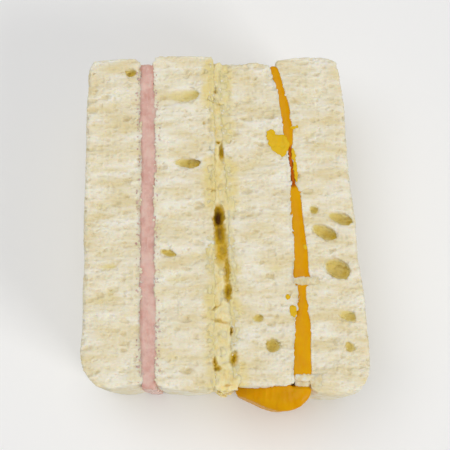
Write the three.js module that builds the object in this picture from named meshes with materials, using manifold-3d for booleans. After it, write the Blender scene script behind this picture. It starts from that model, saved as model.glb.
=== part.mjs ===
// A finger of ham, pineapple and cheese sandwich: four crustless slices of white bread with three
// fillings between them. It lies on one of its long cut faces, with the other cut face up.
// Sizes are in millimetres. X runs across the layers, Y runs along the finger from its near end to
// its far end, and Z is up. The origin is the middle of the underside.
import * as THREE from 'three';
import { ImprovedNoise } from 'three/addons/math/ImprovedNoise.js';
import { mergeVertices } from 'three/addons/utils/BufferGeometryUtils.js';
import Module from 'manifold-3d';

const { lerp, clamp, smoothstep, degToRad } = THREE.MathUtils;
const wasm = await Module();
wasm.setup();

// Driving sizes of the finger.
const LENGTH = 72;
const HEIGHT = 30;
const AIR = 0.3;

// The layers from left to right. near and far are the thickness at the two ends, nearEnd and farEnd
// are how far the layer stops short of them, bulge is how much further the middle of each end
// reaches, and lift is how far the top stands above the cut plane.
const STACK = [
  { name: 'bread_1', near: 13.2, far: 12.0, nearEnd: 0.5, farEnd: 0.3, bulge: 0.8, lift: -0.2 },
  { name: 'ham', near: 3.0, far: 2.8, nearEnd: -0.5, farEnd: 1.4, bulge: 0.0, lift: 0.1 },
  { name: 'bread_2', near: 12.2, far: 13.2, nearEnd: 0.0, farEnd: -0.5, bulge: 0.7, lift: 0.2 },
  { name: 'pineapple', near: 4.4, far: 1.3, nearEnd: 0.5, farEnd: 1.2, bulge: 0.0, lift: -0.5 },
  { name: 'bread_3', near: 12.4, far: 10.5, nearEnd: 0.4, farEnd: 0.9, bulge: 0.2, lift: 0.0 },
  { name: 'cheese', near: 3.5, far: 1.8, nearEnd: 1.6, farEnd: 1.6, bulge: 0.0, lift: 0.1 },
  { name: 'bread_4', near: 13.3, far: 14.4, nearEnd: -0.8, farEnd: 0.0, bulge: 0.8, lift: -0.3 },
];
const LEFT = -STACK.reduce((sum, layer) => sum + layer.near, 0) / 2;
const PINEAPPLE = 3;
const CHEESE = 5;

// The cheese bows to the right half way along, which thickens bread_3 and thins bread_4. Past the
// middle it keeps to the right for longer before it comes back.
const CHEESE_BOW = 2.5;

// Where the knife squeezed the cheese thin at the upper cut face. from and to are distances from the
// near end, loss is the share of its thickness that is gone between them, and nearEase and farEase
// are the lengths over which it thins on each side.
const PINCHES = [
  { from: 42.8, to: 50.5, loss: 0.62, nearEase: 1.2, farEase: 5.0 },
  { from: 17.2, to: 22.0, loss: 0.52, nearEase: 2.6, farEase: 1.6 },
];
const PINCH_DEPTH = 7;

// Where the pineapple has fallen away from the upper cut face, as openings between the slices.
const OPENINGS = [
  { at: 35.5, half: 3.4, deep: 9 },
  { at: 30.0, half: 3.0, deep: 4.5 },
  { at: 50.9, half: 2.8, deep: 3.2 },
  { at: 21.5, half: 2.4, deep: 2.4 },
  { at: 12.7, half: 2.0, deep: 2.2 },
  { at: 5.6, half: 2.0, deep: 2.4 },
];

// The large pores on the upper cut face. across is measured from the finger's left side and along
// from its near end, wide and long are the pore's size, and turn is its slant in degrees. PORE_SLOPE
// makes the right end of a pore the deeper one, as a share of the slope of its own depth.
const PORE_SLOPE = 0.5;
const PORES = [
  { bread: 'bread_1', across: 9.8, along: 69.0, wide: 3.0, long: 2.1, deep: 1.3, turn: 10 },
  { bread: 'bread_1', across: 5.2, along: 25.4, wide: 6.0, long: 2.0, deep: 0.5, turn: 2 },
  { bread: 'bread_2', across: 22.4, along: 48.3, wide: 6.8, long: 2.7, deep: 1.6, turn: -4 },
  { bread: 'bread_2', across: 18.3, along: 28.5, wide: 4.3, long: 2.1, deep: 1.3, turn: -14 },
  { bread: 'bread_2', across: 20.8, along: 63.6, wide: 9.8, long: 3.9, deep: 0.9, turn: 4 },
  { bread: 'bread_3', across: 40.7, along: 8.6, wide: 3.5, long: 3.5, deep: 1.8, turn: 20 },
  { bread: 'bread_3', across: 37.6, along: 14.5, wide: 2.7, long: 2.1, deep: 0.8, turn: 0 },
  { bread: 'bread_4', across: 49.8, along: 38.0, wide: 2.6, long: 2.2, deep: 1.0, turn: -24 },
  { bread: 'bread_4', across: 52.0, along: 33.2, wide: 6.8, long: 3.2, deep: 1.8, turn: -24 },
  { bread: 'bread_4', across: 55.2, along: 36.2, wide: 7.0, long: 3.0, deep: 1.7, turn: -18 },
  { bread: 'bread_4', across: 54.6, along: 25.2, wide: 7.0, long: 4.7, deep: 2.6, turn: -26 },
  { bread: 'bread_4', across: 56.4, along: 15.1, wide: 4.9, long: 3.0, deep: 1.1, turn: -18 },
  { bread: 'bread_4', across: 56.9, along: 8.4, wide: 2.5, long: 2.5, deep: 1.1, turn: 0 },
];

// Rounding of the slices, as radii across and along the finger. The crusts were pressed and trimmed
// off at the near outer corners, which left those much rounder than the rest.
const NEAR_OUTER_CORNER = [6.0, 7.5];
const FAR_OUTER_CORNER = [2.4, 2.6];
const INNER_CORNER = [0.9, 1.3];
const OUTER_EDGE = 1.3;
const INNER_EDGE = 0.25;
const END_EDGE = 1.0;
const FOOT_EDGE = 0.5;
const FILLING_EDGE = 0.2;

// Facets across, along and up each layer, and how far their rows crowd towards the edges.
const STRIPS = { bread: 6, filling: 2 };
const ROWS = 32;
const LEVELS = 5;
const CROWD_ALONG = 0.35;
const CROWD = 0.75;

// Unevenness: its height and the size of its waves.
const WANDER = 0.35;
const WANDER_WAVE = 17;
const SIDE_WAVE = 9;
const SIDE_SWELL = 0.45;
const CUT_SWELL = 0.45;
const CUT_WAVE = [6.5, 4.2];
const END_WAVE = 5;
const END_SWELL = 0.35;

// The cheese sticks out at the near end as a soft tongue, folded to the left across the end of
// bread_3. out is how far it reaches, left is its length, thin is its thickness at both ends of that
// length, apex places its thickest point, behind is the plane of its back, below is how far its upper
// edge starts under the cut plane, and drop and rise are how far its edges come together at the tip.
const FLAP = { out: 4.5, left: 15.2, thin: 0.7, apex: 0.68, behind: -0.35, below: 0.5, drop: 7, rise: 3.5 };

// Crushed pineapple that shows at the upper cut face and at the near end.
const BITS = { top: 22, end: 6, small: 1.8, large: 3.2, seed: 7 };

const perlin = new ImprovedNoise();

// Smooth unevenness from -1 to 1. offset picks a different pattern for each use.
function uneven(x, y, z, offset) {
  return clamp(1.5 * perlin.noise(x + offset * 7.31, y + offset * 3.17, z + offset * 5.53), -1, 1);
}

// A rise and fall from 0 at the edges of a stretch to 1 at its middle.
function hump(at, middle, half) {
  const t = clamp((at - middle) / half, -1, 1);
  return (1 + Math.cos(Math.PI * t)) / 2;
}

// The bow of the cheese from 0 at both ends to 1, at a share of the length.
function bowAt(t) {
  return t < 0.5 ? Math.sin(Math.PI * t) : 1 - (2 * t - 1) ** 4;
}

// Thickness of one layer at a distance along the finger and a height.
function thickness(index, along, up) {
  const t = along / LENGTH;
  const layer = STACK[index];
  const plain = lerp(layer.near, layer.far, t);
  const bow = CHEESE_BOW * bowAt(clamp(t, 0, 1));
  if (index === CHEESE - 1) return plain + bow + cheeseLoss(along, up) / 2;
  if (index === CHEESE + 1) return plain - bow + cheeseLoss(along, up) / 2;
  if (index === CHEESE) return plain - cheeseLoss(along, up);
  return plain;
}

function cheeseLoss(along, up) {
  const layer = STACK[CHEESE];
  const plain = lerp(layer.near, layer.far, along / LENGTH);
  const nearFace = smoothstep(up, HEIGHT - PINCH_DEPTH, HEIGHT);
  const losses = PINCHES.map((p) => {
    const entering = smoothstep(along, p.from - p.nearEase, p.from);
    const leaving = 1 - smoothstep(along, p.to, p.to + p.farEase);
    return p.loss * entering * leaving;
  });
  return plain * nearFace * Math.max(...losses);
}

// X of the plane between layer index - 1 and layer index, which wanders a little.
function boundary(index, along, up) {
  let x = LEFT;
  for (let i = 0; i < index; i += 1) x += thickness(i, along, up);
  const outside = index === 0 || index === STACK.length;
  const wave = outside ? SIDE_WAVE : WANDER_WAVE;
  const swell = outside ? SIDE_SWELL : WANDER;
  return x + swell * uneven(along / wave, up / wave, 0, index + 1);
}

// Rounds the corner between two faces. p and q are a point's distances from them.
function roundCorner(p, q, radiusP, radiusQ) {
  if (p >= radiusP || q >= radiusQ) return [p, q];
  const vp = 1 - p / radiusP;
  const vq = 1 - q / radiusQ;
  const length = Math.hypot(vp, vq);
  const reach = Math.max(vp, vq);
  if (length === 0) return [p, q];
  return [radiusP * (1 - (vp / length) * reach), radiusQ * (1 - (vq / length) * reach)];
}

// Rounds a point of a block at each of its edges: corners seen from above first, then top and foot.
function roundBlock(point, size, rounding) {
  const [width, length, height] = size;
  const [a, s, u] = point;
  const right = a > width / 2;
  const farHalf = s > length / 2;
  const above = u > height / 2;
  const corner = rounding.corners[(farHalf ? 2 : 0) + (right ? 1 : 0)];
  const sideEdge = above ? rounding.edges[right ? 1 : 0] : rounding.foot;
  const endEdge = above ? rounding.end : rounding.foot;
  let fromSide = right ? width - a : a;
  let fromEnd = farHalf ? length - s : s;
  let fromFace = above ? height - u : u;
  [fromSide, fromEnd] = roundCorner(fromSide, fromEnd, corner[0], corner[1]);
  [fromSide, fromFace] = roundCorner(fromSide, fromFace, sideEdge, sideEdge);
  [fromEnd, fromFace] = roundCorner(fromEnd, fromFace, endEdge, endEdge);
  return [
    right ? width - fromSide : fromSide,
    farHalf ? length - fromEnd : fromEnd,
    above ? height - fromFace : fromFace,
  ];
}

// Moves evenly spaced rows, from 0 to 1, towards the two edges.
function crowd(t, share) {
  return lerp(t, 0.5 - 0.5 * Math.cos(Math.PI * t), share);
}

// How far the top of a bread slice swells above the cut plane.
function cutSwell(x, along) {
  return CUT_SWELL * uneven(x / CUT_WAVE[0], along / CUT_WAVE[1], 0, 12);
}

// How a layer's edges are rounded. Its corners seen from above are in the order near left, near
// right, far left, far right, and its long upper edges in the order left, right.
function roundingOf(index) {
  const e = FILLING_EDGE;
  if (index % 2 === 1) return { corners: Array(4).fill([e, e]), edges: [e, e], end: e, foot: e };
  const first = index === 0;
  const last = index === STACK.length - 1;
  return {
    corners: [
      first ? NEAR_OUTER_CORNER : INNER_CORNER,
      last ? NEAR_OUTER_CORNER : INNER_CORNER,
      first ? FAR_OUTER_CORNER : INNER_CORNER,
      last ? FAR_OUTER_CORNER : INNER_CORNER,
    ],
    edges: [first ? OUTER_EDGE : INNER_EDGE, last ? OUTER_EDGE : INNER_EDGE],
    end: END_EDGE,
    foot: FOOT_EDGE,
  };
}

// A whole layer as a closed geometry. inset is its distance from the planes to its left and right,
// foot is the height of its underside, and topAt gives the height of its top.
function layerGeometry(index, inset, foot, topAt) {
  const layer = STACK[index];
  const filling = index % 2 === 1;
  const rounding = roundingOf(index);
  const strips = filling ? STRIPS.filling : STRIPS.bread;
  const geometry = new THREE.BoxGeometry(1, 1, 1, strips, ROWS, LEVELS);
  const position = geometry.getAttribute('position');
  for (let i = 0; i < position.count; i += 1) {
    const across = crowd(position.getX(i) + 0.5, CROWD);
    const along = crowd(position.getY(i) + 0.5, CROWD_ALONG);
    const up = crowd(position.getZ(i) + 0.5, CROWD);
    const width = thickness(index, along * LENGTH, up * HEIGHT);
    const [a, s, u] = roundBlock(
      [across * width, along * LENGTH, up * HEIGHT],
      [width, LENGTH, HEIGHT],
      rounding,
    );
    const bulge = layer.bulge * (1 - (2 * across - 1) ** 2);
    const rough = filling ? 0 : END_SWELL * uneven(across * width / END_WAVE, u / END_WAVE, 0, 20 + index);
    const start = layer.nearEnd - bulge + rough;
    const end = LENGTH - layer.farEnd + bulge + rough;
    const y = lerp(start, end, s / LENGTH);
    const left = boundary(index, y, u) + inset;
    const right = boundary(index + 1, y, u) - inset;
    const x = lerp(left, right, a / width);
    position.setXYZ(i, x, y, lerp(foot, topAt(x, y), u / HEIGHT));
  }
  return geometry;
}

// A closed geometry as a manifold solid, and back.
function solidOf(geometry) {
  const bare = geometry.clone();
  bare.deleteAttribute('normal');
  bare.deleteAttribute('uv');
  const merged = mergeVertices(bare, 1e-4);
  return new wasm.Manifold(
    new wasm.Mesh({
      numProp: 3,
      vertProperties: new Float32Array(merged.getAttribute('position').array),
      triVerts: new Uint32Array(merged.index.array),
    }),
  );
}

function geometryOf(solid) {
  const mesh = solid.getMesh();
  const geometry = new THREE.BufferGeometry();
  geometry.setAttribute('position', new THREE.BufferAttribute(new Float32Array(mesh.vertProperties), 3));
  geometry.setIndex(new THREE.BufferAttribute(new Uint32Array(mesh.triVerts), 1));
  geometry.computeVertexNormals();
  return geometry;
}

// One egg-shaped lump or hollow. size is its full width, length and height. slope lowers its right
// end and turn swings it round, both as angles.
function egg(centre, size, segments, slope, turn) {
  const geometry = new THREE.SphereGeometry(0.5, segments, segments / 2 + 1);
  geometry.scale(...size);
  geometry.rotateY(slope);
  geometry.rotateZ(turn);
  geometry.translate(...centre);
  return geometry;
}

// A slice of bread, with its large pores cut into the upper face.
function breadSolid(index) {
  const layer = STACK[index];
  const top = (x, y) => HEIGHT + layer.lift + cutSwell(x, y);
  let slice = solidOf(layerGeometry(index, AIR / 2, 0, top));
  for (const pore of PORES.filter((p) => p.bread === layer.name)) {
    const x = LEFT + pore.across;
    const tall = pore.deep * 2;
    const slope = Math.atan((PORE_SLOPE * tall) / pore.wide);
    const centre = [x, pore.along, top(x, pore.along)];
    const hollow = egg(centre, [pore.wide, pore.long, tall], 10, slope, degToRad(pore.turn));
    slice = slice.subtract(solidOf(hollow));
  }
  return slice;
}

// Random numbers from 0 to 1 that come out the same each time.
function randomFrom(seed) {
  let state = seed;
  return () => {
    state = (state * 16807) % 2147483647;
    return state / 2147483647;
  };
}

// How far the crushed pineapple lies below the upper cut face.
function pineappleRecess(along) {
  const fallen = OPENINGS.map((o) => o.deep * hump(along, o.at, o.half));
  return Math.max(...fallen) + 0.5 * Math.abs(uneven(along / 3.1, 0, 0, 31));
}

// Crushed pineapple: a thin uneven layer with lumps along its upper edge and its near end, none of
// them wider than the space between the two slices.
function pineappleSolid() {
  const layer = STACK[PINEAPPLE];
  const random = randomFrom(BITS.seed);
  const topAt = (x, y) => HEIGHT + layer.lift - pineappleRecess(y);
  let filling = solidOf(layerGeometry(PINEAPPLE, AIR / 2, AIR, topAt));
  for (let i = 0; i < BITS.top + BITS.end; i += 1) {
    const onEnd = i >= BITS.top;
    const y = onEnd ? layer.nearEnd + 0.3 : lerp(3, LENGTH - 4, (i + random()) / BITS.top);
    const z = onEnd ? lerp(2, HEIGHT - 3, (i - BITS.top + random()) / BITS.end) : topAt(0, y) - 0.2;
    const [wide, long, tall] = [1, 2, 3].map(() => lerp(BITS.small, BITS.large, random()));
    const left = boundary(PINEAPPLE, y, z) + AIR;
    const room = boundary(PINEAPPLE + 1, y, z) - AIR - left;
    const width = Math.min(wide, room * 0.95);
    const x = left + width / 2 + (room - width) * random();
    filling = filling.add(solidOf(egg([x, y, z], [width, long, tall], 6, 0, 0)));
  }
  return filling;
}

// The tongue of cheese that lies across the end of bread_3.
function flapGeometry(right) {
  const geometry = new THREE.BoxGeometry(1, 1, 1, 14, 2, 4);
  const position = geometry.getAttribute('position');
  for (let i = 0; i < position.count; i += 1) {
    const q = 0.5 - position.getX(i);
    const swell = Math.max(Math.sin(Math.PI * q ** FLAP.apex), 0) ** 1.3;
    const thick = FLAP.thin + (FLAP.out + FLAP.behind - FLAP.thin) * swell;
    const top = HEIGHT - FLAP.below - FLAP.drop * q ** 1.6;
    const foot = AIR + FLAP.rise * q ** 2;
    position.setXYZ(
      i,
      right - FLAP.left * q,
      FLAP.behind - thick * (0.5 - position.getY(i)),
      lerp(foot, top, position.getZ(i) + 0.5),
    );
  }
  return geometry;
}

// The cheese slice with its tongue, and the neck that joins them between the slices.
function cheeseSolid() {
  const layer = STACK[CHEESE];
  const slice = layerGeometry(CHEESE, AIR / 2, AIR, () => HEIGHT + layer.lift);
  const left = boundary(CHEESE, 0, HEIGHT / 2) + AIR;
  const right = boundary(CHEESE + 1, 0, HEIGHT / 2) - AIR;
  const neckLength = layer.nearEnd + 1 - FLAP.behind + FLAP.thin / 2;
  const neckWidth = right - left - AIR;
  const neckTop = HEIGHT - FLAP.below - AIR;
  const neckFoot = AIR * 1.5;
  const neck = new THREE.BoxGeometry(neckWidth, neckLength, neckTop - neckFoot);
  neck.translate((left + right) / 2, layer.nearEnd + 1 - neckLength / 2, (neckTop + neckFoot) / 2);
  return solidOf(slice).add(solidOf(neck)).add(solidOf(flapGeometry(right)));
}

// The ham is one plain slice that follows the bread on both sides.
function hamSolid(index) {
  const layer = STACK[index];
  return solidOf(layerGeometry(index, AIR / 2, AIR, () => HEIGHT + layer.lift));
}

const FINISH = {
  bread: { color: 0xe6dcc0, roughness: 0.9, metalness: 0 },
  ham: { color: 0xd6a699, roughness: 0.5, metalness: 0 },
  pineapple: { color: 0xdcc66e, roughness: 0.4, metalness: 0 },
  cheese: { color: 0xd89a12, roughness: 0.45, metalness: 0 },
};

function solidFor(layer, index) {
  if (layer.name === 'ham') return hamSolid(index);
  if (layer.name === 'pineapple') return pineappleSolid();
  if (layer.name === 'cheese') return cheeseSolid();
  return breadSolid(index);
}

const sandwich = new THREE.Group();
STACK.forEach((layer, index) => {
  const finish = FINISH[layer.name] ?? FINISH.bread;
  const mesh = new THREE.Mesh(geometryOf(solidFor(layer, index)), new THREE.MeshStandardMaterial(finish));
  mesh.name = layer.name;
  sandwich.add(mesh);
});

// The origin goes to the middle of the underside.
const bounds = new THREE.Box3().setFromObject(sandwich);
const middle = bounds.getCenter(new THREE.Vector3());
sandwich.position.set(-middle.x, -middle.y, -bounds.min.z);

export default sandwich;
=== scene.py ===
import math
import random
from functools import reduce

import bmesh
import bpy
import numpy as np
from mathutils import Matrix, Vector
from mathutils.bvhtree import BVHTree


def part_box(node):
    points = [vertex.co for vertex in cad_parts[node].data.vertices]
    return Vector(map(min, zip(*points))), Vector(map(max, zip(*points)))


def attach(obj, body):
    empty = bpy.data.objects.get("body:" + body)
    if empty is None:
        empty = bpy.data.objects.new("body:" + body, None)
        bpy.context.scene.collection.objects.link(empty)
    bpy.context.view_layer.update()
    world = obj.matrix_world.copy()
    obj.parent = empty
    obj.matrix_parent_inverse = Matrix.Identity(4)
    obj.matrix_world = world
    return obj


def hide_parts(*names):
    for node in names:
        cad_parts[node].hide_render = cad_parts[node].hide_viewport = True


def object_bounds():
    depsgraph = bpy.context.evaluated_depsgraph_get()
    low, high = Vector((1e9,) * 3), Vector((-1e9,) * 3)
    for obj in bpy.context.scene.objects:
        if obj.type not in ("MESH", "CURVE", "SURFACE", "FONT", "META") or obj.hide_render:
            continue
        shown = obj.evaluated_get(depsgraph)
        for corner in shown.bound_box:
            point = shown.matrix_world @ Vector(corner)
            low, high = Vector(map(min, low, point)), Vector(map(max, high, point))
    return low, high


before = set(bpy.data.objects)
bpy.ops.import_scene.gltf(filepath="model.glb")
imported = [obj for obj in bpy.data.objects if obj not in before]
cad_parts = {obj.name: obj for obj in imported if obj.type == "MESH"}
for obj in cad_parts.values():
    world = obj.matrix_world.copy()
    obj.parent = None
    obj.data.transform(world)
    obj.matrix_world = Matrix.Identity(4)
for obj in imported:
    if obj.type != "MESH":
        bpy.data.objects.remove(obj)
cad_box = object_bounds()

# Bread
# Four crustless slices of soft white sandwich bread, cut through with a sharp knife. The crumb is a
# foam of small cells, drawn out across the slices, with a few large pores. Where fruit lies against
# it the crumb has soaked up juice.

# A size is in metres where it is given times mm, and in millimetres where it isn't.
mm = 0.001
MERGE_WITHIN = 0.001 * mm
BREAD_MESH = 0.335 * mm
LOOKS_UP = 0.4
# The lowest place that a point may have, which is on the table. Along the table any place will do.
LOWEST = (-1, -1, 0)
# Each kind of bubble: its size across, along and up, its depth, and the share that is cut open.
BUBBLES = (
    ((2.6, 1.4, 1.4), 0.6, 0.14),
    ((1.4, 0.85, 0.85), 0.36, 0.6),
    ((0.8, 0.5, 0.5), 0.22, 0.95),
)
# The radius of a cut bubble as a share of its size: the least, and what the widest has on top.
LEAST_RADIUS = 0.24
MORE_RADIUS = 0.4
BOWL_SHAPE = 0.7
# How far a noise bends a pattern, its waves to a millimetre, and its detail.
BUBBLE_BEND = (0.7, 0.6, 1)
PIT_BEND = (0.9, 0.9, 3)
# How much deeper the bubbles are on the two outer faces, and the depth at which the painted shade in a
# bubble is full.
OPEN_SIDES = 0.9
HOLLOW_DEPTH = 0.9
# Each kind of wave: its size across, along and up, its height, and its detail.
STRANDS = ((4.0, 0.6, 0.6), 0.12, 3)
BROAD_WAVES = ((5.5, 5.5, 5.5), 0.14, 2)
FINE_FRAY = (0.7, 0.7, 0.7)
COARSE_FRAY = (3, 2.2, 3)
# How far crumb stands out all over and against a filling, how high its frayed walls wave, and how
# far its upper edges swell.
PRESSED = 0.15
WALL_PRESS = 0.12
FRAYED = 0.24
FRAYED_BY_CHEESE = 0.1
SEAM_SWELL = 0.26
# How far a surface turns sideways or up before it counts as a wall, an outer face or an upper edge,
# from not at all to fully.
WALL = (0.3, 0.8)
OUTER_FACE = (0.5, 0.9)
UPPER_EDGE = (0.15, 0.5)
# How near a layer is to another before it counts as touching, from not at all to fully.
TOUCHING = (0.2, 0.6)
# The rounds of blurring that find the pores, the deepest that count, and the heights between which
# their painted shade sets in.
PORE_ROUNDS = 220
PORE_DEPTH = 0.85
PORE_HEIGHTS = (22, 25)
# How far juice, and the grease and colour of the other fillings, reach into the crumb.
SOAKED = 4.5
STAINED = 1.6
# Where the openings of the fruit get painted shade: below the cut face, above the foot and between
# the ends.
OPENING_TOP = (29.2, 25.8)
OPENING_FOOT = (12, 16)
OPENING_ENDS = (34, 32)
BESIDE_OPENING = (0.6, 0.85)
# The pits that juice left in the fruit and in the crumb beside it: how far across and along from the
# middle each one is, its size across and along, its turn in degrees, and its depth.
PITS = (
    (-2.1, 30.1, 0.9, 0.9, 0, 0.7),
    (-3.3, 27.9, 2.4, 0.5, -15, 0.5),
    (-1.2, 27.2, 2.0, 0.5, -10, 0.5),
    (-4.6, 22.7, 1.2, 1.0, 0, 0.7),
    (-1.5, 18.5, 1.2, 0.9, 0, 1.2),
    (-0.7, 16.3, 1.3, 4.2, 0, 1.4),
    (-2.8, 16.0, 0.6, 4.0, 24, 0.7),
    (-3.2, 10.5, 0.8, 1.1, 0, 0.6),
    (-2.7, 7.8, 1.3, 1.0, 0, 0.6),
    (-2.6, 5.1, 0.5, 0.6, 0, 0.6),
    (-1.5, 1.8, 2.7, 6.0, 0, 2.8),
    (-1.2, -1.6, 2.9, 7.6, 5, 2.0),
    (-0.7, -5.2, 3.6, 8.4, 5, 1.3),
    (0.5, -9.6, 2.0, 10.5, 2, 1.1),
    (0.7, -14.2, 2.1, 4.6, 0, 1.6),
    (-2.0, -17.7, 3.2, 0.6, 32, 0.5),
    (-1.0, -20.6, 4.6, 0.8, -12, 0.7),
    (1.5, -22.7, 1.1, 2.2, 0, 1.5),
    (-2.3, -29.2, 1.4, 3.0, 10, 1.3),
    (-1.8, -30.4, 2.2, 1.2, 0, 1.1),
    (2.0, -28.4, 2.3, 3.4, -10, 1.5),
    (0.7, -34.0, 1.8, 0.8, 0, 0.6),
)
# How high the pits lie, how far up and down they reach, and from where to where their rims slope.
PIT_LEVEL = 29.5
PIT_REACH = 3.0
PIT_RIM = (1.15, 0.2)
# How much of a pit's depth turns into painted shade.
PIT_SHADE = 0.4
# Colours as they look on a screen, from 0 to 255.
CRUMB = (228, 214, 173)
PALE_CRUMB = (242, 237, 221)
STRAND = (242, 236, 218)
CRUMB_SPECK = (216, 198, 152)
# Painted shade: a darker, yellower crumb in the cut bubbles.
CELL_SHADE = (214, 196, 146)
# Painted shade in the pores: olive, and a darker olive at their bottoms.
PORE_SHADE = (228, 211, 134)
PORE_BOTTOM_SHADE = (196, 164, 14)
JUICE_STAIN = (232, 214, 150)
CHEESE_STAIN = (226, 184, 88)
HAM_STAIN = (222, 178, 158)
# Painted shade: olive, then brown, towards the bottom of the fruit's openings and of the pits.
OPENING_SHADE = (212, 174, 12)
OPENING_BOTTOM_SHADE = (104, 64, 16)
SPECKLE_ROUGHNESS = 0.6
BUMP_HEIGHT = 0.3 * mm


def piece_of(shape, name):
    """Turns a bmesh into an object in the scene, and frees it."""
    mesh = bpy.data.meshes.new(name)
    shape.to_mesh(mesh)
    shape.free()
    return placed(mesh, name)


def placed(mesh, name):
    """Puts a mesh in the scene as an object."""
    piece = bpy.data.objects.new(name, mesh)
    bpy.context.scene.collection.objects.link(piece)
    return piece


def merged_copy(node, name):
    """A new object with the mesh of a CAD node, its doubles merged."""
    shape = bmesh.new()
    shape.from_mesh(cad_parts[node].data)
    bmesh.ops.remove_doubles(shape, verts=shape.verts, dist=MERGE_WITHIN)
    return piece_of(shape, name)


def applied(piece, kind, **settings):
    """Adds one modifier to a piece and makes its result the piece's mesh."""
    modifier = piece.modifiers.new(kind.lower(), kind)
    for name, value in settings.items():
        setattr(modifier, name, value)
    result = bpy.data.meshes.new_from_object(
        piece.evaluated_get(bpy.context.evaluated_depsgraph_get())
    )
    piece.modifiers.clear()
    piece.data = result
    return piece


def fused(piece, size):
    """Makes a piece one closed skin of even faces of a size in metres."""
    return applied(piece, "REMESH", mode="VOXEL", voxel_size=size)


def finer_above(piece):
    """Splits the faces that look up into four, because the cut face is seen from close by."""
    shape = bmesh.new()
    shape.from_mesh(piece.data)
    shape.normal_update()
    edges = {edge for face in shape.faces if face.normal.z > LOOKS_UP for edge in face.edges}
    bmesh.ops.subdivide_edges(shape, edges=list(edges), cuts=1, use_grid_fill=True)
    shape.to_mesh(piece.data)
    shape.free()


def add(tree, kind, inputs=(), **settings):
    """Adds a node to a tree. Its inputs are set to values, or linked to other nodes' outputs."""
    made = tree.nodes.new(kind)
    for name, value in settings.items():
        setattr(made, name, value)
    for name, value in dict(inputs).items():
        if isinstance(value, bpy.types.NodeSocket):
            tree.links.new(value, made.inputs[name])
        else:
            made.inputs[name].default_value = value
    return made


def work(tree, operation, *values):
    """Puts numbers and other nodes' outputs through one Math node."""
    return add(tree, "ShaderNodeMath", enumerate(values), operation=operation).outputs[0]


def total(tree, *values):
    """Adds up numbers and other nodes' outputs."""
    return reduce(lambda first, second: work(tree, "ADD", first, second), values)


def product(tree, *values):
    """Multiplies numbers and other nodes' outputs."""
    return reduce(lambda first, second: work(tree, "MULTIPLY", first, second), values)


def vector_work(tree, operation, *values):
    """Puts vectors and other nodes' outputs through one Vector Math node."""
    return add(tree, "ShaderNodeVectorMath", enumerate(values), operation=operation).outputs[0]


def scaled(tree, vector, scale):
    """A vector made longer or shorter."""
    inputs = {0: vector, "Scale": scale}
    return add(tree, "ShaderNodeVectorMath", inputs, operation="SCALE").outputs[0]


def part_of(tree, vector, axis):
    """One of the three numbers of a vector, by its axis 0, 1 or 2."""
    return add(tree, "ShaderNodeSeparateXYZ", {0: vector}).outputs[axis]


def spread(tree, value, low, high, top=1.0):
    """Stretches a value so that low becomes 0 and high becomes top."""
    inputs = {"Value": value, "From Min": low, "From Max": high, "To Max": top}
    return add(tree, "ShaderNodeMapRange", inputs, clamp=True).outputs["Result"]


def waves(tree, place, size, height, detail=2):
    """A soft noise as high above 0 as below it, with waves of a size along each axis."""
    inputs = {"Vector": vector_work(tree, "DIVIDE", place, size), "Scale": 1, "Detail": detail}
    level = add(tree, "ShaderNodeTexNoise", inputs).outputs[0]
    return work(tree, "MULTIPLY_ADD", level, 4 * height, -2 * height)


def bent_place(tree, place, bend, per_mm, detail):
    """A place that a noise pushes about, so that a pattern laid out on it wavers."""
    inputs = {"Vector": place, "Scale": per_mm, "Detail": detail}
    drift = add(tree, "ShaderNodeTexNoise", inputs).outputs["Color"]
    return vector_work(tree, "MULTIPLY_ADD", drift, (bend,) * 3, place)


def bubbles(tree, place, size, depth, share):
    """How deep the cut bubbles of the foam go. Only a share of them is open, each to its own width."""
    spot = {"Vector": vector_work(tree, "DIVIDE", place, size), "Scale": 1}
    bubble = add(tree, "ShaderNodeTexVoronoi", spot, feature="F1")
    opened = spread(tree, part_of(tree, bubble.outputs["Color"], 0), 1 - share, 1)
    radius = work(tree, "MULTIPLY_ADD", opened, MORE_RADIUS, LEAST_RADIUS)
    out = work(tree, "DIVIDE", bubble.outputs["Distance"], radius)
    bowl = work(tree, "MAXIMUM", work(tree, "SUBTRACT", 1, product(tree, out, out)), 0)
    deep = product(tree, work(tree, "SQRT", opened), depth)
    return product(tree, work(tree, "POWER", bowl, BOWL_SHAPE), deep)


def position(tree):
    """Where a point is, in metres."""
    return add(tree, "GeometryNodeInputPosition").outputs[0]


def in_mm(tree):
    """Where a point is, in millimetres."""
    return vector_work(tree, "DIVIDE", position(tree), (mm, mm, mm))


def direction(tree):
    """Which way the surface faces at a point."""
    return add(tree, "GeometryNodeInputNormal").outputs[0]


def moved(tree, mesh, **change):
    """Moves the points of a mesh by an Offset or to a Position."""
    return add(tree, "GeometryNodeSetPosition", {"Geometry": mesh, **change}).outputs[0]


def shaping_tree(name):
    """An empty Geometry Nodes tree, the mesh that goes in, and the points' places in millimetres."""
    tree = bpy.data.node_groups.new(name, "GeometryNodeTree")
    for way in ("INPUT", "OUTPUT"):
        tree.interface.new_socket("Mesh", in_out=way, socket_type="NodeSocketGeometry")
    return tree, add(tree, "NodeGroupInput").outputs[0], in_mm(tree)


def keep(tree, mesh, name, value):
    """Keeps a number for each point as an attribute that the material reads."""
    inputs = {"Geometry": mesh, "Name": name, "Value": value}
    return add(tree, "GeometryNodeStoreNamedAttribute", inputs, data_type="FLOAT").outputs[0]


def finish_shaping(tree, mesh, height):
    """Moves the points out along their normals by a height in millimetres, but not below the table."""
    mesh = moved(tree, mesh, Offset=scaled(tree, direction(tree), product(tree, height, mm)))
    mesh = moved(tree, mesh, Position=vector_work(tree, "MAXIMUM", position(tree), LOWEST))
    add(tree, "NodeGroupOutput", {0: mesh})
    return tree


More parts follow.
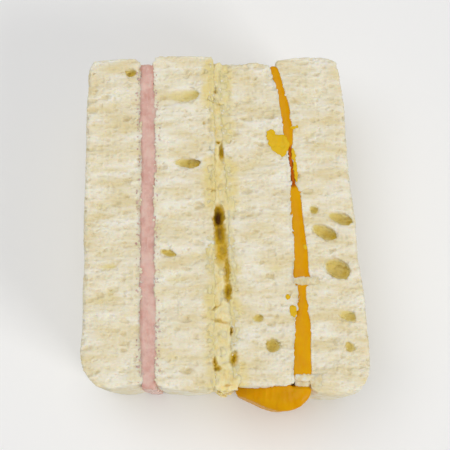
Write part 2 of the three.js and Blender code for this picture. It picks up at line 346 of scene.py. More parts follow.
def distance_to(tree, node):
    """How far a point is from a CAD node, in millimetres."""
    other = add(tree, "GeometryNodeObjectInfo", {"Object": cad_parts[node]}).outputs["Geometry"]
    distance = add(tree, "GeometryNodeProximity", {0: other}).outputs["Distance"]
    return work(tree, "DIVIDE", distance, mm)


def nearness(tree, node, reach):
    """How near a point is to a CAD node, from 1 where they touch to 0 at reach."""
    return spread(tree, distance_to(tree, node), reach, 0)


def blurred_place(tree, rounds, share=1):
    """Where a point lies once it is averaged with its neighbours over and over."""
    inputs = {"Value": position(tree), "Iterations": rounds, "Weight": share}
    return add(tree, "GeometryNodeBlurAttribute", inputs, data_type="FLOAT_VECTOR").outputs[0]


def sunk(tree, rounds, deepest):
    """How far a point lies below the evened-out surface, from 0 to 1 at deepest."""
    above = vector_work(tree, "SUBTRACT", blurred_place(tree, rounds), position(tree))
    inputs = {0: above, 1: direction(tree)}
    along = add(tree, "ShaderNodeVectorMath", inputs, operation="DOT_PRODUCT").outputs["Value"]
    return spread(tree, along, 0, deepest * mm)


def facing(tree, axis, low, high):
    """How much a point's surface faces along an axis, from 0 at low to 1 at high."""
    return spread(tree, part_of(tree, direction(tree), axis), low, high)


def facing_sideways(tree, low, high):
    """How much a point's surface faces left or right across the layers."""
    return total(tree, facing(tree, 0, low, high), facing(tree, 0, -low, -high))


def side_push(tree, place, touching, pressed, frayed, swell):
    """How far a layer presses into what it touches, with frayed walls and swollen upper edges."""
    fray = total(tree, waves(tree, place, FINE_FRAY, frayed), waves(tree, place, COARSE_FRAY, frayed))
    wall = product(tree, facing_sideways(tree, *WALL), total(tree, fray, pressed))
    edge = product(tree, facing_sideways(tree, *UPPER_EDGE), facing(tree, 2, *UPPER_EDGE))
    return product(tree, touching, work(tree, "MULTIPLY_ADD", edge, swell, wall))


def deep_between(tree, place):
    """1 deep in the openings of the fruit, and 0 at its cut face, its ends and its lower half."""
    up = part_of(tree, place, 2)
    from_middle = work(tree, "ABSOLUTE", part_of(tree, place, 1))
    below_top = spread(tree, up, *OPENING_TOP)
    above_foot = spread(tree, up, *OPENING_FOOT)
    return product(tree, below_top, above_foot, spread(tree, from_middle, *OPENING_ENDS))


def pit_depth(tree, place):
    """How deep the pits in the cut face are at a point, in millimetres."""
    bent = bent_place(tree, place, *PIT_BEND)
    mean_bend = Vector((PIT_BEND[0],) * 3) / 2
    depth = 0.0
    for across, along, wide, long, turn, deep in PITS:
        middle = Vector((across, along, PIT_LEVEL)) + mean_bend
        inputs = {"Vector": bent, "Center": middle, "Angle": -math.radians(turn)}
        turned = add(tree, "ShaderNodeVectorRotate", inputs, rotation_type="Z_AXIS").outputs[0]
        away = vector_work(tree, "SUBTRACT", turned, middle)
        shares = vector_work(tree, "DIVIDE", away, (wide / 2, long / 2, PIT_REACH))
        out = add(tree, "ShaderNodeVectorMath", {0: shares}, operation="LENGTH").outputs["Value"]
        depth = work(tree, "MAXIMUM", depth, spread(tree, out, *PIT_RIM, deep))
    return depth


def sink(tree, mesh, depth):
    """Lowers the points of a mesh by a depth in millimetres."""
    return moved(tree, mesh, Offset=scaled(tree, (0, 0, -mm), depth))


def crumb_shaping():
    """Turns a plain slice into crumb, and keeps its hollows and what it touches."""
    tree, mesh, place = shaping_tree("crumb_shaping")
    fruit = nearness(tree, "pineapple", SOAKED)
    cheese = nearness(tree, "cheese", STAINED)
    ham = nearness(tree, "ham", STAINED)
    by_soft = spread(tree, work(tree, "MAXIMUM", ham, fruit), *TOUCHING)
    by_cheese = spread(tree, cheese, *TOUCHING)

    bent = bent_place(tree, place, *BUBBLE_BEND)
    touching = work(tree, "MAXIMUM", by_soft, by_cheese)
    closed = product(tree, touching, facing_sideways(tree, *WALL))
    end_on = work(tree, "MULTIPLY_ADD", facing_sideways(tree, *OUTER_FACE), OPEN_SIDES, 1)
    open_share = product(tree, end_on, work(tree, "SUBTRACT", 1, closed))
    depth = product(tree, total(tree, *(bubbles(tree, bent, *kind) for kind in BUBBLES)), open_share)

    sides = total(
        tree,
        side_push(tree, place, by_soft, WALL_PRESS, FRAYED, SEAM_SWELL),
        side_push(tree, place, by_cheese, WALL_PRESS, FRAYED_BY_CHEESE, SEAM_SWELL),
    )
    broad = waves(tree, place, *BROAD_WAVES)
    height = total(tree, broad, PRESSED, waves(tree, bent, *STRANDS), sides)

    near_top = spread(tree, part_of(tree, place, 2), *PORE_HEIGHTS)
    pits = pit_depth(tree, place)
    inner = product(tree, deep_between(tree, place), spread(tree, fruit, *BESIDE_OPENING))
    # Masks for the material: the first three place painted shade in bubbles, pores and openings; the last
    # three place stains.
    kept = {
        "hollow": spread(tree, depth, 0, HOLLOW_DEPTH),
        "pore": product(tree, sunk(tree, PORE_ROUNDS, PORE_DEPTH), near_top),
        "deep": work(tree, "MAXIMUM", inner, product(tree, pits, PIT_SHADE)),
        "fruit": fruit,
        "cheese": cheese,
        "ham": ham,
    }
    for name, value in kept.items():
        mesh = keep(tree, mesh, name, value)
    return finish_shaping(tree, sink(tree, mesh, pits), work(tree, "SUBTRACT", height, depth))


def srgb(red, green, blue):
    """A screen colour, 0 to 255, as Blender's linear colour."""
    def linear(value):
        value /= 255
        return value / 12.92 if value <= 0.04045 else ((value + 0.055) / 1.055) ** 2.4
    return (linear(red), linear(green), linear(blue), 1)


def tinted(tree, colour, value, ramp, tint):
    """Lays a tint over a colour. A ramp is where the value starts to count, where it counts in full,
    and how strong the tint is there."""
    inputs = {0: spread(tree, value, *ramp), 6: colour, 7: srgb(*tint)}
    return add(tree, "ShaderNodeMix", inputs, data_type="RGBA").outputs[2]


def new_material(name):
    """An empty material, and its node tree."""
    material = bpy.data.materials.new(name)
    material.use_nodes = True
    material.node_tree.nodes.clear()
    return material, material.node_tree


def finish_material(tree, colour, roughness, normal, **surface):
    """Closes a material with its shader. surface holds what is the same all over."""
    inputs = {"Base Color": colour, "Roughness": roughness, "Normal": normal}
    inputs.update({name.replace("_", " "): value for name, value in surface.items()})
    shader = add(tree, "ShaderNodeBsdfPrincipled", inputs, subsurface_method="RANDOM_WALK")
    add(tree, "ShaderNodeOutputMaterial", {"Surface": shader.outputs["BSDF"]})


# A speckle that all the foods share: a noise on the object's own coordinates, with a size in
# millimetres and a stretch along each axis. It gives a value round 0.5 and a bumped normal.
speckle = bpy.data.node_groups.new("speckle", "ShaderNodeTree")
for socket, low, high, start in (("Size", 0.01, 100, 1), ("Detail", 0, 10, 3), ("Bump", 0, 5, 0.1)):
    made = speckle.interface.new_socket(socket, in_out="INPUT", socket_type="NodeSocketFloat")
    made.min_value = low
    made.max_value = high
    made.default_value = start
made = speckle.interface.new_socket("Stretch", in_out="INPUT", socket_type="NodeSocketVector")
made.default_value = (1, 1, 1)
speckle.interface.new_socket("Value", in_out="OUTPUT", socket_type="NodeSocketFloat")
speckle.interface.new_socket("Normal", in_out="OUTPUT", socket_type="NodeSocketVector")
given = speckle.nodes.new("NodeGroupInput").outputs
where = add(speckle, "ShaderNodeTexCoord").outputs["Object"]
pattern_inputs = {
    "Vector": vector_work(speckle, "DIVIDE", where, given["Stretch"]),
    "Scale": work(speckle, "DIVIDE", 1 / mm, given["Size"]),
    "Detail": given["Detail"],
    "Roughness": SPECKLE_ROUGHNESS,
}
pattern = add(speckle, "ShaderNodeTexNoise", pattern_inputs).outputs[0]
bump_inputs = {"Strength": given["Bump"], "Distance": BUMP_HEIGHT, "Height": pattern}
bump = add(speckle, "ShaderNodeBump", bump_inputs).outputs["Normal"]
add(speckle, "NodeGroupOutput", {"Value": pattern, "Normal": bump})


def speckled(tree, size, stretch=(1, 1, 1), detail=3, bump=0.1):
    """Places the speckle in a material, and gives its outputs."""
    inputs = {"Size": size, "Stretch": stretch, "Detail": detail, "Bump": bump}
    return add(tree, "ShaderNodeGroup", inputs, node_tree=speckle).outputs


def read(tree, name):
    """Reads one of a piece's kept numbers."""
    return add(tree, "ShaderNodeAttribute", attribute_name=name).outputs["Fac"]


def darker_with_depth(tree, colour):
    """Paints shade: turns a colour olive and then brown towards the bottom of an opening or a pit."""
    deep = read(tree, "deep")
    colour = tinted(tree, colour, deep, (0, 0.35, 0.95), OPENING_SHADE)
    return tinted(tree, colour, deep, (0.35, 1.0), OPENING_BOTTOM_SHADE)


def bread_material(name, softness):
    """Cream crumb with paler strands, painted shade in its bubbles, pores and openings, and stains
    beside the fillings.
    """
    material, tree = new_material(name)
    strands = speckled(tree, 0.8, stretch=(5, 1, 1), detail=4, bump=0.3)
    patches = speckled(tree, 3, stretch=(3, 1, 1), detail=4)["Value"]
    specks = speckled(tree, 0.35, detail=2)["Value"]
    colour = tinted(tree, srgb(*CRUMB), patches, (0.36, 0.64), PALE_CRUMB)
    colour = tinted(tree, colour, strands["Value"], (0.5, 0.8, 0.45), STRAND)
    colour = tinted(tree, colour, specks, (0.6, 0.85, 0.2), CRUMB_SPECK)
    # Painted shade in the cut bubbles.
    colour = tinted(tree, colour, read(tree, "hollow"), (0.1, 0.8, 0.55), CELL_SHADE)
    pore = read(tree, "pore")
    # Painted shade in the pores, darker olive at their bottoms.
    colour = tinted(tree, colour, pore, (0.06, 0.4, 0.8), PORE_SHADE)
    colour = tinted(tree, colour, pore, (0.3, 0.95, 0.95), PORE_BOTTOM_SHADE)

    ragged = work(tree, "SUBTRACT", speckled(tree, 1.5, detail=3)["Value"], 0.5)
    drawn_in = work(tree, "MULTIPLY_ADD", speckled(tree, 7, detail=1)["Value"], 1.2, -0.6)
    dusted = work(tree, "MULTIPLY_ADD", speckled(tree, 0.6, detail=2)["Value"], 1.6, -0.8)
    fruit = read(tree, "fruit")
    uneven = product(tree, total(tree, ragged, drawn_in), spread(tree, fruit, 0, 0.4))
    colour = tinted(tree, colour, total(tree, fruit, uneven), (0.28, 0.78, 0.9), JUICE_STAIN)
    greased = total(tree, read(tree, "cheese"), ragged)
    colour = tinted(tree, colour, greased, (0.7, 1.1, 0.6), CHEESE_STAIN)
    pinked = total(tree, read(tree, "ham"), dusted)
    colour = tinted(tree, colour, pinked, (0.62, 0.95, 0.7), HAM_STAIN)
    finish_material(
        tree,
        darker_with_depth(tree, colour),
        roughness=0.92,
        normal=strands["Normal"],
        Subsurface_Weight=softness,
        Subsurface_Radius=(1.0, 0.8, 0.5),
        Subsurface_Scale=1.0 * mm,
        Specular_IOR_Level=0.12,
    )
    return material


def finish_piece(piece, material):
    """Gives a piece its material, smooth shading and body."""
    piece.data.materials.clear()
    piece.data.materials.append(material)
    piece.data.shade_smooth()
    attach(piece, "root")


crumb_finish = bread_material("white_crumb", softness=0.5)
crumb_form = crumb_shaping()
slices = {}
for name in ("bread_1", "bread_2", "bread_3", "bread_4"):
    piece = fused(merged_copy(name, name + "_crumb"), BREAD_MESH)
    finer_above(piece)
    applied(piece, "NODES", node_group=crumb_form)
    finish_piece(piece, crumb_finish)
    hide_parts(name)
    slices[name] = piece


# Ham
# One thick slice of pressed cooked ham between the first two slices of bread, cut flush with them.
# It is moist and evenly pink, with a faint grain along the slice and frayed edges.

FILLING_MESH = 0.28 * mm
FILLING_SWELL = 0.42
FILLING_PRESS = 0.25
# How near a filling is to the bread on either side, from 1 where they touch to 0 at this distance.
FILLING_REACH = 0.8
HAM_GRAIN = ((0.5, 3.0, 3.0), 0.06)
HAM_LUMPS = ((1.7, 1.7, 1.7), 0.14)
HAM_PRESSED = 0.2
HAM_FRAYED = 0.24
# How far a face turns to the near end before it is evened out, and how many rounds that takes.
HAM_NEAR_END = (-0.5, -0.9)
HAM_END_ROUNDS = 80
HAM = (211, 160, 146)
PALE_HAM = (226, 190, 176)
HAM_FLECK = (232, 203, 189)


def evened(tree, mesh, rounds, share):
    """Evens out a mesh where share is 1, which takes the steps out of flat faces."""
    return moved(tree, mesh, Position=blurred_place(tree, rounds, share))


def between(tree, *slices):
    """1 where a filling lies against either of two slices of bread, and 0 at its open ends."""
    first, second = (nearness(tree, name, FILLING_REACH) for name in slices)
    return spread(tree, work(tree, "MAXIMUM", first, second), *TOUCHING)


def ham_shaping():
    """Gives the ham its grain, its small lumps and its frayed edges."""
    tree, mesh, place = shaping_tree("ham_shaping")
    grain = waves(tree, place, *HAM_GRAIN)
    touching = between(tree, "bread_1", "bread_2")
    sides = side_push(tree, place, touching, FILLING_PRESS, HAM_FRAYED, FILLING_SWELL)
    height = total(tree, grain, HAM_PRESSED, waves(tree, place, *HAM_LUMPS), sides)
    mesh = evened(tree, mesh, HAM_END_ROUNDS, facing(tree, 1, *HAM_NEAR_END))
    return finish_shaping(tree, mesh, height)


def ham_material():
    """Moist pink meat with paler flecks."""
    material, tree = new_material("cooked_ham")
    grain = speckled(tree, 0.6, stretch=(1, 3, 3), detail=4, bump=0.3)
    patches = speckled(tree, 3.0, detail=3)["Value"]
    colour = tinted(tree, srgb(*HAM), patches, (0.36, 0.64), PALE_HAM)
    colour = tinted(tree, colour, grain["Value"], (0.55, 0.8, 0.6), HAM_FLECK)
    finish_material(
        tree,
        colour,
        roughness=spread(tree, patches, 0.2, 0.8, 0.6),
        normal=grain["Normal"],
        Subsurface_Weight=0.35,
        Subsurface_Radius=(1.0, 0.45, 0.3),
        Subsurface_Scale=1.2 * mm,
        Specular_IOR_Level=0.35,
    )
    return material


ham = fused(merged_copy("ham", "ham_slice"), FILLING_MESH)
applied(ham, "NODES", node_group=ham_shaping())
ham_finish = ham_material()
finish_piece(ham, ham_finish)
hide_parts("ham")


# Pineapple
# A spoonful of crushed pineapple, drained and spread, so it is a layer of soft wet shreds. The knife
# cut it level with the bread on both sides.

CORE_ROUNDING = 60
CORE_LUMPS = ((1.2, 1.2, 1.2), 0.28)
CORE_PRESSED = 0.25
CORE_FRAYED = 0.2
CUT_LEVEL = 30.2
CUT_WAVES = ((3, 4, 3), 0.15)
# How many rounds of blurring find the hollows of the fruit, which get painted shade, and how deep
# the deepest are.
CORE_HOLLOWS = (20, 0.6)
SHRED_HOLLOWS = (30, 0.4)
# The shreds that show in the cut face, and those at the ends and the foot. Their sizes are the least
# and the most across, along and up.
SHRED_SEED = 11
SHREDS_ON_TOP = 1150
SHREDS_ELSEWHERE = 700
TOP_SHREDS = ((0.8, 1.5), (1.4, 3.6), (0.6, 0.9))
OTHER_SHREDS = ((0.8, 1.8), (1.2, 3.4), (0.5, 1.0))
SHREDS_UP_TO = 30.3
SHREDS_VARY = 0.2
SHREDS_OVER = 0.9 * mm
SHREDS_FROM_END = 0.8 * mm
WIDTH_LEVEL = 20 * mm
MOST_SIDEWAYS = 0.5
MOST_UPWARDS = 0.2
# How far a shred's middle stands out of the fruit, and how wide it may be for the room between the
# slices, measured just inside the fruit.
TOP_PROUD = -0.45
OTHERS_PROUD = 0.3
JUST_INSIDE = 0.5
ROOM_OUTSIDE = 1.0 * mm
WIDER_THAN_ROOM = 1.25
SHRED_SWING = 0.8
SHRED_MESH = 0.17 * mm
SHRED_ROUNDING = 8
SHRED_LUMPS = ((1.1, 1.5, 1.1), 0.14)
SHRED_GRAIN = ((0.4, 0.5, 0.4), 0.07)
LUMP_WAVES = ((0.9, 0.9, 0.9), 0.12)
FRUIT = (238, 212, 144)
PALE_FRUIT = (245, 227, 180)
FIBRE = (248, 237, 205)
# Painted shade: a deeper yellow where the fruit lies low.
SUNKEN_FRUIT_SHADE = (224, 194, 104)


def fruit_shaping(name, height, hollows):
    """Cuts the fruit level with the bread, sinks its pits and roughens it."""
    tree, mesh, place = shaping_tree(name)
    pits = pit_depth(tree, place)
    level = product(tree, total(tree, waves(tree, place, *CUT_WAVES), CUT_LEVEL), mm)
    top = add(tree, "ShaderNodeCombineXYZ", {"X": 1, "Y": 1, "Z": level}).outputs[0]
    # Masks for painted shade: where the fruit lies low, and in its openings and pits.
    mesh = keep(tree, mesh, "hollow", sunk(tree, *hollows))
    deep = work(tree, "MAXIMUM", deep_between(tree, place), product(tree, pits, PIT_SHADE))
    mesh = keep(tree, mesh, "deep", deep)
    mesh = moved(tree, mesh, Position=vector_work(tree, "MINIMUM", position(tree), top))
    return finish_shaping(tree, sink(tree, mesh, pits), height(tree, place))


def core_height(tree, place):
    """The lumps of the core, and its swell into the bread on both sides."""
    touching = between(tree, "bread_2", "bread_3")
    sides = side_push(tree, place, touching, FILLING_PRESS, CORE_FRAYED, FILLING_SWELL)
    return total(tree, waves(tree, place, *CORE_LUMPS), CORE_PRESSED, sides)


def shred_height(tree, place):
    """The soft lumps and the fine grain of the shreds."""
    return total(tree, waves(tree, place, *SHRED_LUMPS), waves(tree, place, *SHRED_GRAIN))


def fruit_material():
    """Wet pale yellow fruit, with painted shade where it lies low and in its openings and pits."""
    material, tree = new_material("crushed_pineapple")
    fibres = speckled(tree, 0.5, stretch=(1, 2.5, 1), detail=3, bump=0.3)
    patches = speckled(tree, 2.2, detail=2)["Value"]
    colour = tinted(tree, srgb(*FRUIT), patches, (0.35, 0.65), PALE_FRUIT)
    colour = tinted(tree, colour, fibres["Value"], (0.5, 0.75, 0.5), FIBRE)
    # Painted shade where the fruit lies low.
    colour = tinted(tree, colour, read(tree, "hollow"), (0.3, 1, 0.45), SUNKEN_FRUIT_SHADE)
    finish_material(
        tree,
        darker_with_depth(tree, colour),
        roughness=0.45,
        normal=fibres["Normal"],
        Subsurface_Weight=0.6,
        Subsurface_Radius=(1.0, 0.8, 0.4),
        Subsurface_Scale=1.5 * mm,
        Specular_IOR_Level=0.35,
    )
    return material


def rounded(piece, rounds):
    """Takes the small steps out of a piece, over and over."""
    return applied(piece, "SMOOTH", factor=0.5, iterations=rounds)


def ray_tree(piece):
    """A tree for finding points on a piece's surface."""
    shape = bmesh.new()
    shape.from_mesh(piece.data)
    tree = BVHTree.FromBMesh(shape)
    shape.free()
    return tree


def lump_tree():
    """Puts a small uneven ball on each point, with the point's own size and turn."""
    tree, points, _ = shaping_tree("lumps")
    ball = add(tree, "GeometryNodeMeshIcoSphere", {"Radius": 0.5, "Subdivisions": 2}).outputs["Mesh"]
    size, turn = (
        add(tree, "GeometryNodeInputNamedAttribute", {"Name": name}, data_type="FLOAT_VECTOR").outputs[0]
        for name in ("size", "turn")
    )
    inputs = {"Points": points, "Instance": ball, "Scale": size, "Rotation": turn}
    balls = add(tree, "GeometryNodeInstanceOnPoints", inputs).outputs[0]
    mesh = add(tree, "GeometryNodeRealizeInstances", {"Geometry": balls}).outputs[0]
    return finish_shaping(tree, mesh, waves(tree, in_mm(tree), *LUMP_WAVES))


lump_form = lump_tree()


def lumps(name, rows):
    """One piece of small lumps. Each row is a lump's place, size and turn."""
    mesh = bpy.data.meshes.new(name)
    mesh.from_pydata([place for place, _, _ in rows], [], [])
    for column, attribute in ((1, "size"), (2, "turn")):
        values = np.array([tuple(row[column]) for row in rows], np.float32)
        mesh.attributes.new(attribute, "FLOAT_VECTOR", "POINT").data.foreach_set("vector", values.ravel())
    return applied(placed(mesh, name), "NODES", node_group=lump_form)


def walls_at(fruit_tree, along, up):
    """Where the left and right walls of the fruit are at a place, or None where there is no fruit."""
    hits = [fruit_tree.ray_cast(Vector((-way, along, up)), Vector((way, 0, 0)))[0] for way in (1, -1)]
    return [hit.x for hit in hits] if hits[0] else None


def shred_row(fruit_tree, point, normal, sizes, proud, draw):
    """One shred's place, size and turn. It is hardly wider than the room between the slices."""
    inside = point - normal * JUST_INSIDE * mm
    walls = walls_at(fruit_tree, inside.y, inside.z)
    room = walls[1] - walls[0] if walls else ROOM_OUTSIDE
    size = Vector([draw.uniform(*limits) * mm for limits in sizes])
    size.x = min(size.x, WIDER_THAN_ROOM * room)
    swing = Matrix.Rotation(draw.uniform(-SHRED_SWING, SHRED_SWING), 3, "Z")
    turn = (Vector((0, 0, 1)).rotation_difference(normal).to_matrix() @ swing).to_euler()
    return point + normal * proud * mm, size, turn


def is_open(face):
    """Whether a face of the fruit looks neither at the bread nor out of the cut face."""
    return abs(face.normal.x) < MOST_SIDEWAYS and face.normal.z < MOST_UPWARDS


fruit = fused(merged_copy("pineapple", "pineapple_core"), FILLING_MESH)
rounded(fruit, CORE_ROUNDING)
applied(fruit, "NODES", node_group=fruit_shaping("core_shaping", core_height, CORE_HOLLOWS))

draw = random.Random(SHRED_SEED)
fruit_tree = ray_tree(fruit)
fruit_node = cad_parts["pineapple"].data
open_faces = [face for face in fruit_node.polygons if is_open(face)]
rows = []
for face in draw.choices(open_faces, [face.area for face in open_faces], k=SHREDS_ELSEWHERE):
    corners = [fruit_node.vertices[i].co for i in face.vertices]
    weights = [draw.random() for _ in corners]
    centre = sum((c * w for c, w in zip(corners, weights)), Vector()) / sum(weights)
    rows.append(shred_row(fruit_tree, centre, face.normal, OTHER_SHREDS, OTHERS_PROUD, draw))
near_end, far_end = (corner[1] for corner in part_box("pineapple"))
for _ in range(SHREDS_ON_TOP):
    along = draw.uniform(near_end + SHREDS_FROM_END, far_end - SHREDS_FROM_END)
    left, right = walls_at(fruit_tree, along, WIDTH_LEVEL)
    across = draw.uniform(left - SHREDS_OVER, right + SHREDS_OVER)
    point = Vector((across, along, (SHREDS_UP_TO - draw.uniform(0, SHREDS_VARY)) * mm))
    rows.append(shred_row(fruit_tree, point, Vector((0, 0, 1)), TOP_SHREDS, TOP_PROUD, draw))
shreds = rounded(fused(lumps("pineapple_shreds", rows), SHRED_MESH), SHRED_ROUNDING)
applied(shreds, "NODES", node_group=fruit_shaping("shred_shaping", shred_height, SHRED_HOLLOWS))
fruit_finish = fruit_material()
for piece in (fruit, shreds):
    finish_piece(piece, fruit_finish)
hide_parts("pineapple")


# Cheese
# One slice of soft orange cheese. The knife pinched it thin in two places along the cut face, and
# its near end hangs out as a tongue folded across the end of the third slice of bread.

CHEESE_MESH = 0.25 * mm
CHEESE_ROUNDING = 16
DRAG_MARKS = ((1.2, 4.0, 1.2), 0.1)
CHEESE_GRAIN = ((0.5, 0.9, 0.5), 0.035)
CHEESE_PRESSED = 0.22
CHEESE_WALL_PRESS = 0.12
CHEESE_FRAYED = 0.09
# How far along the tongue starts and where it stands clear of the bread, how its back presses on
# the bread, and how its top swells and is evened out.
TONGUE_FROM = (-28, -31)
TONGUE_CLEAR = (-33.8, -34.6)
TONGUE_BACK = (0.3, 0.8)
TONGUE_PRESS = 1.0
TONGUE_TOP = (0.2, 0.6)
TONGUE_ROUNDS = 60
# Where the cheese counts as pinched thin: the room between the slices, and how high up. There it
# lies lower, most of all where it faces up.
THIN_ROOM = (2.0, 1.6)
THIN_HEIGHTS = (24, 27)
THIN_LOWER = 0.35
THIN_TOP_LOWER = 0.5
CHEESE = (219, 151, 0)
PALE_CHEESE = (227, 166, 2)
CHEESE_FLECK = (232, 178, 20)
# Painted shade: dark red where the pinched cheese lies low between the slices.
THIN_CHEESE_SHADE = (202, 90, 16)
SMEAR = (228, 182, 20)
PALE_SMEAR = (234, 194, 48)
# Smears of cheese that the knife left on the bread: how far across and along from the middle,
# the size across and along, and the turn in degrees.
SMEARS = (
    (11.3, 18.3, 2.8, 6.4, 32),
    (12.7, 18.4, 2.0, 3.6, 14),
    (15.2, 13.0, 0.5, 8.2, 6),
    (14.4, -18.4, 1.2, 2.6, 8),
    (13.4, -15.4, 0.9, 0.8, 0),
    (15.0, 21.9, 1.7, 0.3, 10),
    (17.2, -4.6, 0.7, 0.9, 0),
)
SMEAR_SEED = 5
SMEAR_LUMPS_PER_MM2 = 9
SMEAR_WIDTHS = (0.6, 1.1)
SMEAR_THICKNESS = 0.4
SMEAR_MESH = 0.12 * mm
SMEAR_ROUNDING = 14


def cheese_shaping():
    """Gives the cheese the knife's drag marks and a wavering edge, and presses its tongue to the bread."""
    tree, mesh, place = shaping_tree("cheese_shaping")
    along = part_of(tree, place, 1)
    up = part_of(tree, place, 2)
    touching = between(tree, "bread_3", "bread_4")
    sides = side_push(tree, place, touching, CHEESE_WALL_PRESS, CHEESE_FRAYED, FILLING_SWELL)
    marks = waves(tree, place, *DRAG_MARKS)
    height = total(tree, marks, CHEESE_PRESSED, waves(tree, place, *CHEESE_GRAIN), sides)
    at_end = product(tree, spread(tree, along, *TONGUE_FROM), TONGUE_PRESS)
    back = product(tree, facing(tree, 1, *TONGUE_BACK), at_end)
    room = total(tree, distance_to(tree, "bread_3"), distance_to(tree, "bread_4"))
    thin = product(tree, spread(tree, room, *THIN_ROOM), spread(tree, up, *THIN_HEIGHTS))
    lower = work(tree, "MULTIPLY_ADD", facing(tree, 2, 0, 1), -THIN_TOP_LOWER, -THIN_LOWER)
    height = work(tree, "MULTIPLY_ADD", thin, lower, total(tree, height, back))
    clear = spread(tree, along, *TONGUE_CLEAR)
    height = total(tree, height, product(tree, clear, facing(tree, 2, *TONGUE_TOP)))
    # The thin mask also places the painted shade, dark red, in the material.
    mesh = keep(tree, mesh, "thin", thin)
    return finish_shaping(tree, evened(tree, mesh, TONGUE_ROUNDS, clear), height)


def cheese_material(name, plain, paler):
    """Smooth orange cheese with a dull waxy shine, and painted shade, dark red, where it is pinched thin.
    """
    material, tree = new_material(name)
    patches = speckled(tree, 4, detail=2)["Value"]
    grain = speckled(tree, 0.8, stretch=(1, 2.5, 1), detail=3, bump=0.12)
    colour = tinted(tree, srgb(*plain), patches, (0.3, 0.7), paler)
    colour = tinted(tree, colour, grain["Value"], (0.6, 0.85, 0.5), CHEESE_FLECK)
    # Painted shade, dark red, where the cheese is pinched thin.
    colour = tinted(tree, colour, read(tree, "thin"), (0, 1, 0.8), THIN_CHEESE_SHADE)
    finish_material(
        tree,
        colour,
        roughness=spread(tree, patches, 0.1, 0.9, 0.75),
        normal=grain["Normal"],
        Subsurface_Weight=0.2,
        Subsurface_Radius=(1.0, 0.45, 0.1),
        Subsurface_Scale=1.0 * mm,
        Specular_IOR_Level=0.08,
    )
    return material


cheese = rounded(fused(merged_copy("cheese", "cheese_slice"), CHEESE_MESH), CHEESE_ROUNDING)
applied(cheese, "NODES", node_group=cheese_shaping())
finish_piece(cheese, cheese_material("orange_cheese", CHEESE, PALE_CHEESE))
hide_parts("cheese")


def on_top(across, along):
    """The point of the cut face at a place given in millimetres from the middle."""
    start = Vector((across * mm, along * mm, 1))
    hits = [tree.ray_cast(start, Vector((0, 0, -1)))[0] for tree in top_trees]
    return max((hit for hit in hits if hit), key=lambda hit: hit.z)


draw = random.Random(SMEAR_SEED)
top_trees = [ray_tree(piece) for piece in (*slices.values(), cheese)]
rows = []
for across, along, wide, long, turn in SMEARS:
    turned = Matrix.Rotation(math.radians(turn), 2)
    for _ in range(round(SMEAR_LUMPS_PER_MM2 * wide * long)):
        angle = draw.uniform(0, 2 * math.pi)
        out = math.sqrt(draw.random()) / 2
        spot = turned @ Vector((wide * out * math.cos(angle), long * out * math.sin(angle)))
        widths = (draw.uniform(*SMEAR_WIDTHS), draw.uniform(*SMEAR_WIDTHS))
        size = Vector((*widths, SMEAR_THICKNESS)) * mm
        rows.append((on_top(across + spot.x, along + spot.y), size, (0, 0, angle)))
smears = rounded(fused(lumps("cheese_smears", rows), SMEAR_MESH), SMEAR_ROUNDING)
finish_piece(smears, cheese_material("smeared_cheese", SMEAR, PALE_SMEAR))


# Crumbs and specks
# What the knife dragged about: crumbs of bread along the seams, crumb over the cheese where it broke
# and at its near end, and specks of ham on the bread beside it.

# How high up, and how much facing up, the crumb has to be for crumbs to lie on it.
CUT_FACE = 28.5
LOOKS_OUT = 0.3
# The loose crumbs along each seam: what they lie beside, how near to it at least, and how many.
CRUMB_SEED = 3
CRUMBS = (("ham", 0.6, 60), ("cheese", 0.6, 40), ("fruit", 0.74, 50))
CRUMB_SIZES = (0.25, 0.7)
CRUMB_SUNK = 0.1
# Where crumb was dragged over the cheese: how far across and along from the middle, its size across
# and along, and how many crumbs.
DRAGGED = ((17.3, -12.0, 5.2, 1.3, 170), (17.5, -33.0, 5.2, 2.3, 380))
DRAGGED_SIZES = (0.4, 0.9)
DRAGGED_MESH = 0.12 * mm
DRAGGED_ROUNDING = 3
DRAGGED_GREASE = 0.85
SPECK_SEED = 8
SPECKS = 170
SPECKS_NEAR = 0.2
SPECK_SIZES = (0.2, 0.55)
SPECK_SUNK = 0.2
FLATNESS = 0.6


def points_of(piece):
    """The vertices of a piece in millimetres, and their normals, as two arrays."""
    count = len(piece.data.vertices)
    places = np.empty(count * 3, np.float32)
    normals = np.empty(count * 3, np.float32)
    piece.data.vertices.foreach_get("co", places)
    piece.data.vertex_normals.foreach_get("vector", normals)
    return places.reshape(-1, 3) / mm, normals.reshape(-1, 3)


def seam_spots(filling, least, count, draw):
    """Random places on the cut face of the bread, where its kept nearness to a filling is over least."""
    spots = []
    for piece in slices.values():
        places, normals = points_of(piece)
        near = np.empty(len(places), np.float32)
        piece.data.attributes[filling].data.foreach_get("value", near)
        chosen = (normals[:, 2] > LOOKS_OUT) & (places[:, 2] > CUT_FACE) & (near > least)
        spots.extend(places[chosen])
    return [Vector(spot) * mm for spot in draw.choices(spots, k=count)]


def flat_bits(spots, sizes, sunk_by, draw):
    """A row for each small flattish bit, lying on its spot."""
    rows = []
    for spot in spots:
        size = Vector([draw.uniform(*sizes) * mm for _ in range(3)])
        size.z = FLATNESS * min(size)
        rows.append((spot - Vector((0, 0, sunk_by * size.z)), size, (0, 0, draw.uniform(0, 2 * math.pi))))
    return rows


draw = random.Random(CRUMB_SEED)
crumb_spots = []
for filling, least, count in CRUMBS:
    crumb_spots += seam_spots(filling, least, count, draw)
rows = flat_bits(crumb_spots, CRUMB_SIZES, CRUMB_SUNK, draw)
finish_piece(lumps("bread_crumbs", rows), bread_material("loose_crumb", softness=0))

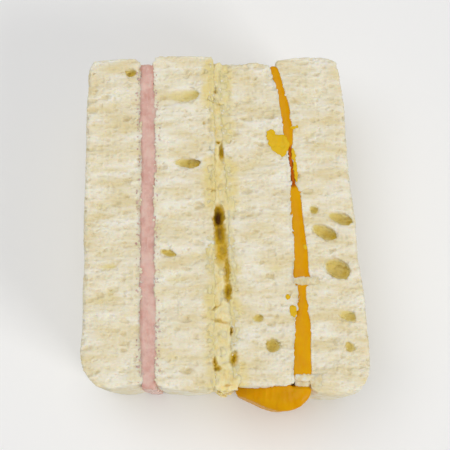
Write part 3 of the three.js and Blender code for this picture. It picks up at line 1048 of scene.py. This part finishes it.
rows = []
for across, along, wide, long, count in DRAGGED:
    spots = [
        on_top(across + wide * draw.uniform(-0.5, 0.5), along + long * draw.uniform(-0.5, 0.5))
        for _ in range(count)
    ]
    rows += flat_bits(spots, DRAGGED_SIZES, 0, draw)
dragged = rounded(fused(lumps("dragged_crumb", rows), DRAGGED_MESH), DRAGGED_ROUNDING)
grease = dragged.data.attributes.new("cheese", "FLOAT", "POINT").data
grease.foreach_set("value", [DRAGGED_GREASE] * len(grease))
finish_piece(dragged, crumb_finish)

draw = random.Random(SPECK_SEED)
rows = flat_bits(seam_spots("ham", SPECKS_NEAR, SPECKS, draw), SPECK_SIZES, SPECK_SUNK, draw)
finish_piece(lumps("ham_specks", rows), ham_finish)


# The setting
# A plain pale table, a large soft light overhead and a stronger one low on the right, and the camera
# looking steeply down along the finger.

TABLE_REACH = 1.5
TABLE_GAP = 0.05 * mm
TABLE = (246, 246, 246)
ROOM_LIGHT = 0.34
LOOK_DOWN = 79
DISTANCE = 225 * mm
LENS = 84

table_shape = bmesh.new()
bmesh.ops.create_grid(table_shape, x_segments=1, y_segments=1, size=TABLE_REACH)
bmesh.ops.translate(table_shape, verts=table_shape.verts, vec=(0, 0, -TABLE_GAP))
table = piece_of(table_shape, "table")
table_material, table_tree = new_material("pale_table")
table_speckle = speckled(table_tree, 4, detail=2, bump=0.02)
finish_material(table_tree, srgb(*TABLE), roughness=0.6, normal=table_speckle["Normal"])
table.data.materials.append(table_material)


def soft_light(name, place, size, power, colour):
    """A square area light that shines at the middle of the food."""
    data = bpy.data.lights.new(name, "AREA")
    data.shape = "SQUARE"
    data.size = size
    data.energy = power
    data.color = colour
    lamp = placed(data, name)
    lamp.location = place
    lamp.rotation_euler = (-Vector(place)).to_track_quat("-Z", "Y").to_euler()


soft_light("overhead", place=(-0.4, 0.2, 1.8), size=1.5, power=17.0, colour=(1, 1, 1))
soft_light("right", place=(1.4, -1.1, 1.1), size=0.8, power=14.5, colour=(1, 0.985, 0.96))

world = bpy.data.worlds.new("room")
world.use_nodes = True
background = world.node_tree.nodes["Background"].inputs
background["Color"].default_value = (1, 1, 1, 1)
background["Strength"].default_value = ROOM_LIGHT
bpy.context.scene.world = world
bpy.context.scene.view_settings.view_transform = "Standard"

low, high = (Vector(corner) for corner in cad_box)
target = Vector(((low.x + high.x) / 2, (low.y + high.y) / 2, high.z))
angle = math.radians(LOOK_DOWN)
camera = placed(bpy.data.cameras.new("camera"), "camera")
camera.location = target + DISTANCE * Vector((0, -math.cos(angle), math.sin(angle)))
camera.rotation_euler = (math.pi / 2 - angle, 0, 0)
camera.data.lens = LENS
bpy.context.scene.camera = camera
